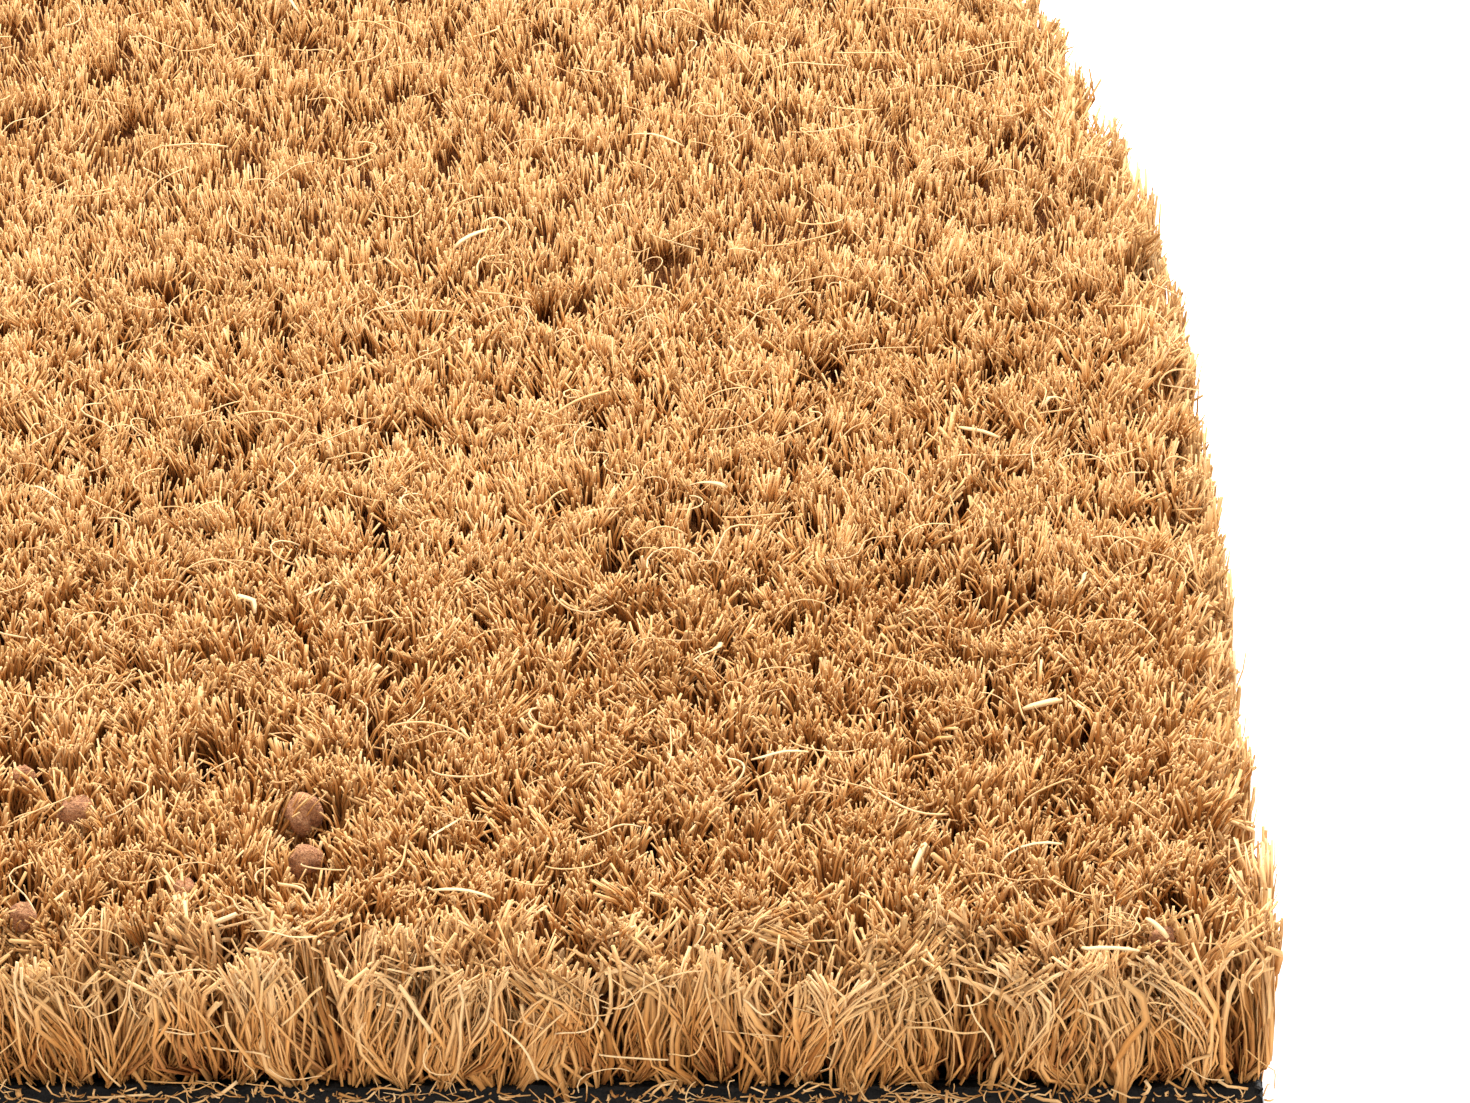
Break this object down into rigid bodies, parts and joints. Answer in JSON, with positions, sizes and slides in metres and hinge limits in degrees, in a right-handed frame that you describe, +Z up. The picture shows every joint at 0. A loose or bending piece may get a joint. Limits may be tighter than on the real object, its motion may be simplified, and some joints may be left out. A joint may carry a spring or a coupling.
{
  "type": "door mat",
  "caption": "Half-round coir door mat: rows of upright coir tufts planted in a sheet of soft black vinyl, sheared level, with a plain flat underside.",
  "frame": {"origin": "on the ground under the middle of the mat's bounding box", "axes": "+X along the straight front edge, to the right; +Y from the straight front edge towards the half round; +Z up"},
  "size_m": [0.6, 0.4, 0.017],
  "materials": {
    "vinyl": "soft black PVC sheet, satin, with small glossy grains on the cut edge",
    "coir": "matte golden-tan coir fibre, sheared tips, brown in the gaps between tufts"
  },
  "bodies": {
    "root": {"backing_sheet": "vinyl", "tuft_rows_01": "coir", "tuft_rows_02": "coir", "tuft_rows_03": "coir", "tuft_rows_04": "coir", "tuft_rows_05": "coir", "tuft_rows_06": "coir", "tuft_rows_07": "coir", "tuft_rows_08": "coir", "tuft_rows_09": "coir", "tuft_rows_10": "coir", "tuft_rows_11": "coir", "tuft_rows_12": "coir", "tuft_rows_13": "coir", "tuft_rows_14": "coir", "tuft_rows_15": "coir", "tuft_rows_16": "coir", "tuft_rows_17": "coir", "tuft_rows_18": "coir", "tuft_rows_19": "coir", "tuft_rows_20": "coir", "tuft_rows_21": "coir", "tuft_rows_22": "coir", "tuft_rows_23": "coir", "tuft_rows_24": "coir", "tuft_rows_25": "coir", "tuft_rows_26": "coir", "tuft_rows_27": "coir", "tuft_rows_28": "coir", "tuft_rows_29": "coir", "tuft_rows_30": "coir", "tuft_rows_31": "coir", "tuft_rows_32": "coir", "tuft_rows_33": "coir", "tuft_rows_34": "coir", "tuft_rows_35": "coir", "tuft_rows_36": "coir", "tuft_rows_37": "coir", "tuft_rows_38": "coir", "tuft_rows_39": "coir", "tuft_rows_40": "coir"}
  },
  "joints": []
}
